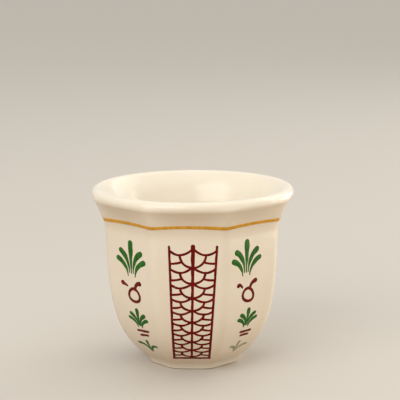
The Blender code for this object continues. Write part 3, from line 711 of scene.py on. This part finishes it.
def bar_beads(down, length, turn):
    """Short bar, lower at its right end by a turn."""
    half = (length - BAR_STROKE) / 2
    along = np.linspace(-half, half, CURVE_STEPS + 1)
    spine = np.stack([along * math.cos(turn), down + along * math.sin(turn)], axis=-1)
    return [even_bead(spine, BAR_STROKE)]


def stack_place(panel_name, group, middle):
    """Rule that puts a mark of a group, with its middle at a level, where the hand put it on a panel."""
    breadth = STACK_BREADTH[panel_name]
    slip = STACK_SLIPS[panel_name][group]
    drop = STACK_STRETCH[panel_name] * (middle - SMALL_SPRIG["base"])
    return lambda across, down: (breadth * across + slip, down + drop)


def stack_marks(panel_name):
    """Name, slot, group, middle and beads of each mark in a stack, from the top down."""
    green, red = "leaf_green_enamel", "bud_red_enamel"
    low_fan = LONG_RIGHT_FAN if panel_name in HOOKED_STALK_PANELS else LONG_LEFT_FAN
    upper_bar, lower_bar = UPPER_BARS[panel_name], LOWER_BARS[panel_name]
    yield "sprig_large", green, LARGE, sprig_middle(LARGE_SPRIG), sprig_beads(LARGE_SPRIG, FULL_FAN)
    yield "bud", red, BUD, BUD_DOWN, bud_beads(panel_name)
    yield "bud_stalk", red, BUD, BUD_DOWN, loose_stalk_beads(panel_name)
    yield "sprig_small", green, SMALL, sprig_middle(SMALL_SPRIG), sprig_beads(SMALL_SPRIG, FULL_FAN)
    yield "bar_upper", red, BARS, upper_bar["down"], bar_beads(**upper_bar)
    yield "bar_lower", red, BARS, lower_bar["down"], bar_beads(**lower_bar)
    yield "sprig_low", green, LOW, sprig_middle(LOW_SPRIG), sprig_beads(LOW_SPRIG, low_fan)


# Materials


def new_material(name):
    """Empty principled material, and its node tree and shader."""
    material = bpy.data.materials.new(name)
    material.use_nodes = True
    return material, material.node_tree, material.node_tree.nodes["Principled BSDF"]


def noise(tree, scale, detail, stretch=(1.0, 1.0, 1.0)):
    """Noise over the cup's own coordinates, with so many waves to a metre."""
    spot = tree.nodes.new("ShaderNodeTexCoord")
    mapping = tree.nodes.new("ShaderNodeMapping")
    mapping.inputs["Scale"].default_value = stretch
    texture = tree.nodes.new("ShaderNodeTexNoise")
    texture.inputs["Scale"].default_value = scale
    texture.inputs["Detail"].default_value = detail
    tree.links.new(spot.outputs["Object"], mapping.inputs["Vector"])
    tree.links.new(mapping.outputs["Vector"], texture.inputs["Vector"])
    return texture.outputs["Fac"]


def between(tree, factor, stops, socket):
    """Colours blended along a factor, from (place, colour) stops, into a socket."""
    ramp = tree.nodes.new("ShaderNodeValToRGB")
    for element, (place, colour) in zip(ramp.color_ramp.elements, stops):
        element.position = place
        element.color = (*colour, 1.0)
    tree.links.new(factor, ramp.inputs["Fac"])
    tree.links.new(ramp.outputs["Color"], socket)


def spread(tree, factor, low, high, socket):
    """A noise's usual swing drawn out between two values, into a socket."""
    span = tree.nodes.new("ShaderNodeMapRange")
    span.inputs["From Min"].default_value, span.inputs["From Max"].default_value = NOISE_SWING
    span.inputs["To Min"].default_value = low
    span.inputs["To Max"].default_value = high
    tree.links.new(factor, span.inputs["Value"])
    tree.links.new(span.outputs["Result"], socket)


def bump(tree, height, depth, strength, socket):
    """Ripple of a depth that follows a height, into a socket."""
    ripple = tree.nodes.new("ShaderNodeBump")
    ripple.inputs["Distance"].default_value = depth
    ripple.inputs["Strength"].default_value = strength
    tree.links.new(height, ripple.inputs["Height"])
    tree.links.new(ripple.outputs["Normal"], socket)


def dress(tree, shader, tones, look):
    """Gives a shader its tones, uneven gloss and ripple, each over a noise of its own."""
    between(tree, noise(tree, **look["tone_noise"]), tones, shader.inputs["Base Color"])
    spread(tree, noise(tree, **look["gloss_noise"]), *look["roughness"], shader.inputs["Roughness"])
    bump(tree, noise(tree, **look["ripple_noise"]), **look["ripple"], socket=shader.inputs["Normal"])


def make_glaze():
    """Warm ivory body under a clear gloss glaze that lies a little uneven."""
    material, tree, shader = new_material("ivory_glaze")
    dress(tree, shader, GLAZE_TONES, GLAZE_LOOK)
    for socket_name, value in GLAZE_SUBSURFACE.items():
        shader.inputs[socket_name].default_value = value
    return material


def make_bisque():
    """Bare, fine-grained fired clay of the foot ring."""
    material, tree, shader = new_material("bare_foot")
    dress(tree, shader, BISQUE_TONES, BISQUE_LOOK)
    return material


def make_enamel(name, thin, full):
    """Fired enamel, fuller in tone where the brush left more of it."""
    material, tree, shader = new_material(name)
    dress(tree, shader, ((ENAMEL_FULL_PLACE, full), (ENAMEL_THIN_PLACE, thin)), ENAMEL_LOOK)
    shader.inputs["Specular IOR Level"].default_value = ENAMEL_SPECULAR
    return material


# Stage, light and camera


def make_floor():
    """Round floor, plain and pale, that reaches past every view."""
    turns = np.linspace(0.0, 2 * math.pi, FLOOR_STEPS + 1)[:-1]
    rim = [
        (FLOOR_RADIUS * math.cos(turn), FLOOR_RADIUS * math.sin(turn), -FLOOR_CLEARANCE) for turn in turns
    ]
    mesh = bpy.data.meshes.new("floor")
    mesh.from_pydata(rim, [], [tuple(range(len(rim)))])
    floor = bpy.data.objects.new("floor", mesh)
    bpy.context.scene.collection.objects.link(floor)
    material, tree, shader = new_material("pale_floor")
    rays = tree.nodes.new("ShaderNodeLightPath")
    seen = rays.outputs["Is Camera Ray"]
    for kind in ("Is Glossy Ray", "Is Transmission Ray"):
        either = tree.nodes.new("ShaderNodeMath")
        either.operation = "MAXIMUM"
        tree.links.new(seen, either.inputs[0])
        tree.links.new(rays.outputs[kind], either.inputs[1])
        seen = either.outputs["Value"]
    between(tree, seen, ((0.0, FLOOR_BOUNCE), (1.0, FLOOR_COLOUR)), shader.inputs["Base Color"])
    shader.inputs["Roughness"].default_value = FLOOR_ROUGHNESS
    mesh.materials.append(material)
    floor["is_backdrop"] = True


def make_sky():
    """Even, faintly warm light from all round."""
    world = bpy.data.worlds.new("studio")
    world.use_nodes = True
    background = world.node_tree.nodes["Background"]
    background.inputs["Color"].default_value = (*SKY_COLOUR, 1.0)
    background.inputs["Strength"].default_value = SKY_STRENGTH
    bpy.context.scene.world = world


def soft_lamp(name, place, size, level, colour):
    """Soft box that lights a white face turned to it, at the cup, to a level where 1 is white."""
    lamp = bpy.data.lights.new(name, "AREA")
    lamp.shape = "RECTANGLE"
    lamp.size, lamp.size_y = size
    lamp.color = colour
    reach = Vector(place) - LOOK_AT
    lamp.energy = level * math.pi**2 * reach.length_squared
    holder = bpy.data.objects.new(name, lamp)
    holder.location = place
    holder.rotation_euler = reach.to_track_quat("Z", "Y").to_euler()
    holder.visible_camera = False
    if name in RIM_LAMPS:
        holder.light_linking.receiver_collection = cup_pieces
    bpy.context.scene.collection.objects.link(holder)


def make_camera():
    """Camera that looks down on the cup from a little off its front panel."""
    camera = bpy.data.cameras.new("photo_camera")
    camera.sensor_width = SENSOR
    camera.lens = CAMERA_LENS
    holder = bpy.data.objects.new("photo_camera", camera)
    back = Vector((0.0, -math.cos(CAMERA_DROP), math.sin(CAMERA_DROP))) * CAMERA_DISTANCE
    turn = Matrix.Rotation(CAMERA_TURN, 4, "Z")
    tilt = Matrix.Rotation(math.pi / 2 - CAMERA_DROP, 4, "X")
    roll = Matrix.Rotation(-CAMERA_ROLL, 4, "Z")
    holder.matrix_world = turn @ Matrix.Translation(LOOK_AT + back) @ tilt @ roll
    bpy.context.scene.collection.objects.link(holder)
    bpy.context.scene.camera = holder


enamels = {name: make_enamel(name, **tones) for name, tones in ENAMELS.items()}
make_body(make_glaze(), make_bisque())
make_line(enamels["ochre_enamel"])
for panel_name, panel in COLUMN_PANELS.items():
    slot = "dark_red_enamel"
    laid_on_panel("scale_column_" + panel_name, slot, enamels[slot], column_beads(), column_place, panel)
for panel_name, panel in STACK_PANELS.items():
    for mark, slot, group, middle, beads in stack_marks(panel_name):
        node = f"{mark}_{panel_name}"
        # One low sprig takes the paler green that holds a painted highlight
        enamel = enamels["highlight_paled_green_enamel" if node == HIGHLIGHT_PALED_NODE else slot]
        laid_on_panel(node, slot, enamel, beads, stack_place(panel_name, group, middle), panel)

make_floor()
make_sky()
for lamp_name, lamp in LAMPS.items():
    soft_lamp(lamp_name, **lamp)
make_camera()
bpy.context.scene.view_settings.view_transform = "Standard"

boxes = {"cad": CAD_BOX, "visual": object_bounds()}
{name: [list(corner) for corner in box] for name, box in boxes.items()}
